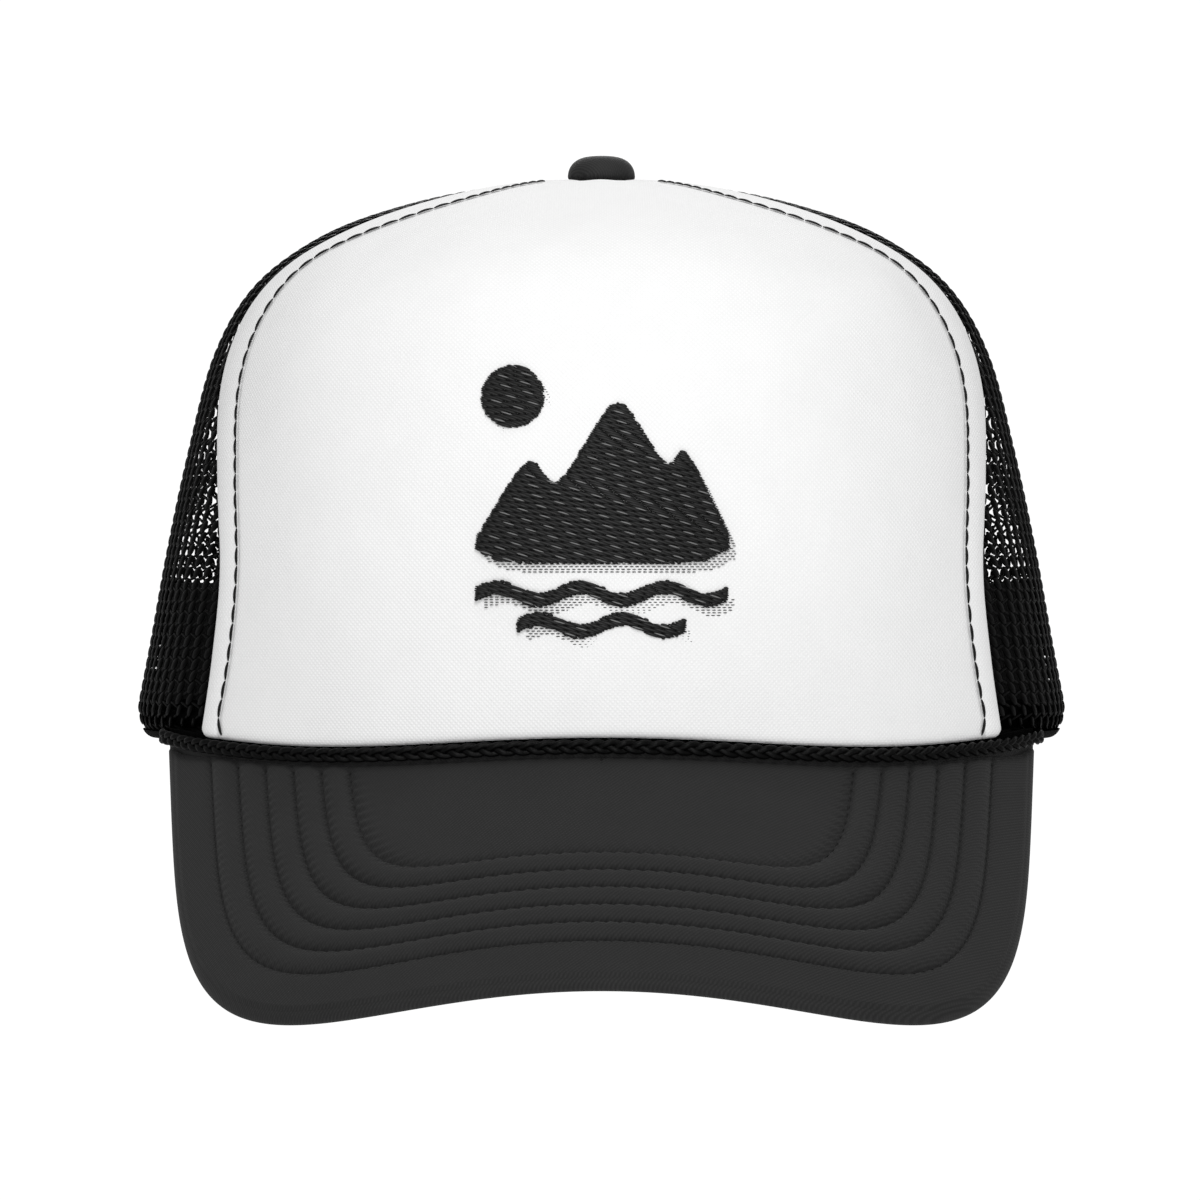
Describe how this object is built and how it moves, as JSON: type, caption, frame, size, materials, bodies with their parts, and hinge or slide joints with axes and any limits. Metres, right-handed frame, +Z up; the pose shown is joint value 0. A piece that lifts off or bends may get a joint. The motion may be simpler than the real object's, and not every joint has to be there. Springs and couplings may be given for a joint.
{
  "type": "trucker mesh cap",
  "caption": "Trucker cap with a foam front panel, open mesh sides and rear, a curved stitched visor with a braid, a covered top button and a rear snap strap closure.",
  "frame": {"origin": "middle of the head opening, at the height of the lower hem", "axes": "+Z up through the top button, -Y out over the visor, +X towards the right of a viewer who faces the front"},
  "size_m": [0.1982, 0.2515, 0.1722],
  "materials": {
    "foam": "knit-faced foam, matt, very fine weave",
    "mesh": "open knitted polyester mesh with looped ribs",
    "seam_tape": "woven tape, matt",
    "binding": "folded woven binding, matt",
    "sweatband": "brushed cotton twill",
    "label": "smooth woven satin, blank",
    "visor_fabric": "cotton twill, matt",
    "visor_board": "moulded polyethylene board",
    "visor_thread": "twisted polyester thread",
    "braid": "herringbone braided cord, slight sheen",
    "topstitch": "thick twisted thread",
    "embroidery": "satin stitched thread with a soft sheen",
    "button_fabric": "cotton twill stretched over a button",
    "button_metal": "stamped metal",
    "strap_plastic": "moulded plastic, low sheen"
  },
  "bodies": {
    "crown": {"front_foam_panel": "foam", "side_mesh_left": "mesh", "side_mesh_right": "mesh", "rear_mesh_left": "mesh", "rear_mesh_right": "mesh", "front_seam_tape_left": "seam_tape", "front_seam_tape_right": "seam_tape", "side_seam_tape_left": "seam_tape", "side_seam_tape_right": "seam_tape", "rear_seam_tape": "seam_tape", "hem_binding_left": "binding", "hem_binding_right": "binding", "rear_opening_binding": "binding", "sweatband": "sweatband", "size_label": "label", "visor_top_cover": "visor_fabric", "visor_board": "visor_board", "visor_under_cover": "visor_fabric", "visor_stitch_row_1": "visor_thread", "visor_stitch_row_2": "visor_thread", "visor_stitch_row_3": "visor_thread", "visor_stitch_row_4": "visor_thread", "visor_stitch_row_5": "visor_thread", "visor_stitch_row_6": "visor_thread", "visor_braid": "braid", "front_topstitch_left": "topstitch", "front_topstitch_right": "topstitch", "embroidered_mountains": "embroidery", "embroidered_sun": "embroidery", "embroidered_wave_upper": "embroidery", "embroidered_wave_lower": "embroidery", "button_cover": "button_fabric", "button_shell": "button_metal", "button_shank": "button_metal", "button_back_plate": "button_metal", "closure_anchor_left": "strap_plastic", "closure_anchor_right": "strap_plastic"},
    "strap_with_holes": {"closure_strap_holes": "strap_plastic"},
    "strap_with_studs": {"closure_strap_studs": "strap_plastic"}
  },
  "joints": [
    {"name": "hole_strap_hinge", "type": "hinge", "parent": "crown", "child": "strap_with_holes", "pos_m": [0.04124, 0.08751, 0.0103], "axis": [0.0715, 0.1495, -0.9862], "range_deg": [0, 60]},
    {"name": "stud_strap_hinge", "type": "hinge", "parent": "crown", "child": "strap_with_studs", "pos_m": [-0.04054, 0.08609, 0.01003], "axis": [-0.0727, 0.1489, -0.9862], "range_deg": [0, 30]}
  ]
}
